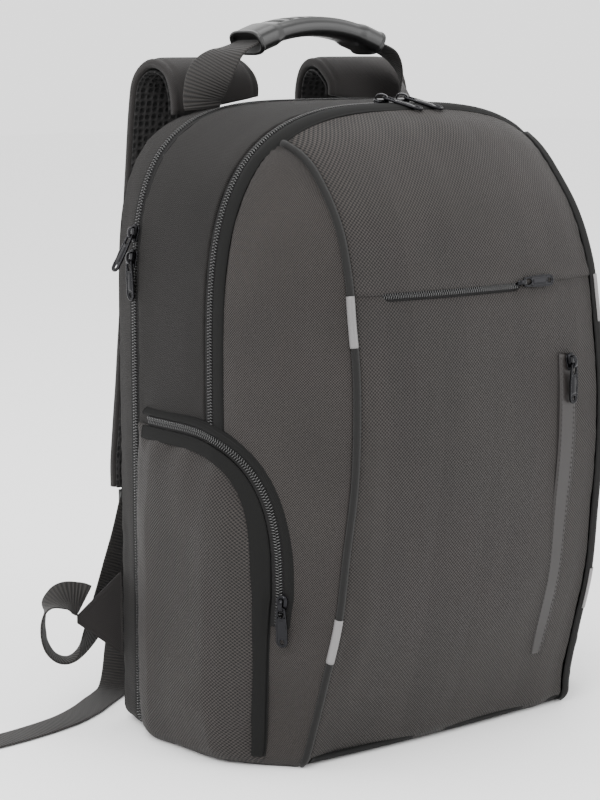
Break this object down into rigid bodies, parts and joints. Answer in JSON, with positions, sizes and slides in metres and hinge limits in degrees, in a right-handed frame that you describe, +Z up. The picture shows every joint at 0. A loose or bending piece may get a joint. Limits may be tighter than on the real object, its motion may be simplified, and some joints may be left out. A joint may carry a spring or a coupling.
{
  "type": "laptop backpack",
  "caption": "Laptop backpack standing on its base, with a bowed front, zipped side pockets, padded shoulder straps, a moulded carry handle and loose lower webbing.",
  "frame": {"origin": "middle of the base, on the surface that the bag stands on", "axes": "+Z up through the bag; the front panel faces -Y and the back panel with the shoulder straps faces +Y; -X is the side that the picture shows, the wearer's left when the straps are behind"},
  "size_m": [0.5028, 0.3033, 0.5168],
  "materials": {
    "twill": "fine black twill",
    "oxford": "charcoal Oxford weave",
    "jacquard": "charcoal grey dotted jacquard",
    "coated_tape": "smooth coated welt tape",
    "zip": "black nylon coil and tape",
    "piping": "woven black piping",
    "reflector": "silver reflective sleeve",
    "spacer_mesh": "black spacer mesh",
    "strap_cloth": "black woven strap cover",
    "webbing": "black ribbed webbing",
    "grip_rubber": "semi-gloss moulded rubber",
    "buckle_plastic": "black acetal",
    "gunmetal": "black nickel plated zinc"
  },
  "bodies": {
    "bag": {"laptop_gusset": "twill", "main_gusset": "twill", "laptop_zip": "zip", "main_zip": "zip", "front_gusset_left": "oxford", "front_gusset_right": "oxford", "front_panel_lower": "jacquard", "front_panel_upper": "jacquard", "base_panel": "twill", "back_panel": "spacer_mesh", "piping_left": "piping", "piping_right": "piping", "reflector_upper_left": "reflector", "reflector_upper_right": "reflector", "reflector_lower_left": "reflector", "reflector_lower_right": "reflector", "side_pocket_left": "jacquard", "side_pocket_right": "jacquard", "side_pocket_zip_left": "zip", "side_pocket_zip_right": "zip", "front_welt": "coated_tape", "front_pocket_zip": "zip", "strap_pad_left": "strap_cloth", "strap_pad_right": "strap_cloth", "strap_mesh_left": "spacer_mesh", "strap_mesh_right": "spacer_mesh", "handle_webbing": "webbing", "handle_grip": "grip_rubber", "wing_left": "webbing", "wing_right": "webbing", "lower_webbing_left": "webbing", "webbing_tail_left": "webbing", "lower_webbing_right": "webbing", "webbing_tail_right": "webbing", "ladder_lock_left": "buckle_plastic", "ladder_lock_right": "buckle_plastic", "laptop_upper_slider": "gunmetal", "laptop_lower_slider": "gunmetal", "main_left_slider": "gunmetal", "main_right_slider": "gunmetal", "side_pocket_left_slider": "gunmetal", "side_pocket_right_slider": "gunmetal", "front_pocket_slider": "gunmetal", "front_welt_slider": "gunmetal"},
    "laptop_upper_pull": {"laptop_upper_pull": "gunmetal"},
    "laptop_lower_pull": {"laptop_lower_pull": "gunmetal"},
    "main_left_pull": {"main_left_pull": "gunmetal"},
    "main_right_pull": {"main_right_pull": "gunmetal"},
    "side_pocket_left_pull": {"side_pocket_left_pull": "gunmetal"},
    "side_pocket_right_pull": {"side_pocket_right_pull": "gunmetal"},
    "front_pocket_pull": {"front_pocket_pull": "gunmetal"},
    "front_welt_pull": {"front_welt_pull": "gunmetal"}
  },
  "joints": [
    {"name": "laptop_upper_pull_swing", "type": "hinge", "parent": "bag", "child": "laptop_upper_pull", "pos_m": [-0.16972, 0.082, 0.3637], "axis": [0, 1, 0], "range_deg": [0, 120]},
    {"name": "laptop_lower_pull_swing", "type": "hinge", "parent": "bag", "child": "laptop_lower_pull", "pos_m": [-0.17133, 0.082, 0.34585], "axis": [0, 1, 0], "range_deg": [0, 30]},
    {"name": "main_left_pull_swing", "type": "hinge", "parent": "bag", "child": "main_left_pull", "pos_m": [-0.01304, -0.00805, 0.45925], "axis": [-0.7053, -0.685, -0.1822], "range_deg": [0, 150]},
    {"name": "main_right_pull_swing", "type": "hinge", "parent": "bag", "child": "main_right_pull", "pos_m": [0.00607, -0.00805, 0.45928], "axis": [-0.7053, -0.685, -0.1822], "range_deg": [0, 150]},
    {"name": "side_pocket_left_pull_swing", "type": "hinge", "parent": "bag", "child": "side_pocket_left_pull", "pos_m": [-0.14958, -0.0616, 0.12028], "axis": [-0.5354, 0.8446, 0], "range_deg": [0, 120]},
    {"name": "side_pocket_right_pull_swing", "type": "hinge", "parent": "bag", "child": "side_pocket_right_pull", "pos_m": [0.14958, -0.0616, 0.12028], "axis": [-0.5354, -0.8446, 0], "range_deg": [0, 120]},
    {"name": "front_pocket_pull_swing", "type": "hinge", "parent": "bag", "child": "front_pocket_pull", "pos_m": [0.03345, -0.10553, 0.33293], "axis": [0, -0.1615, -0.9869], "range_deg": [0, 150]},
    {"name": "front_welt_pull_swing", "type": "hinge", "parent": "bag", "child": "front_welt_pull", "pos_m": [0.07567, -0.11435, 0.27262], "axis": [-0.989, -0.1391, -0.0495], "range_deg": [0, 150]}
  ]
}
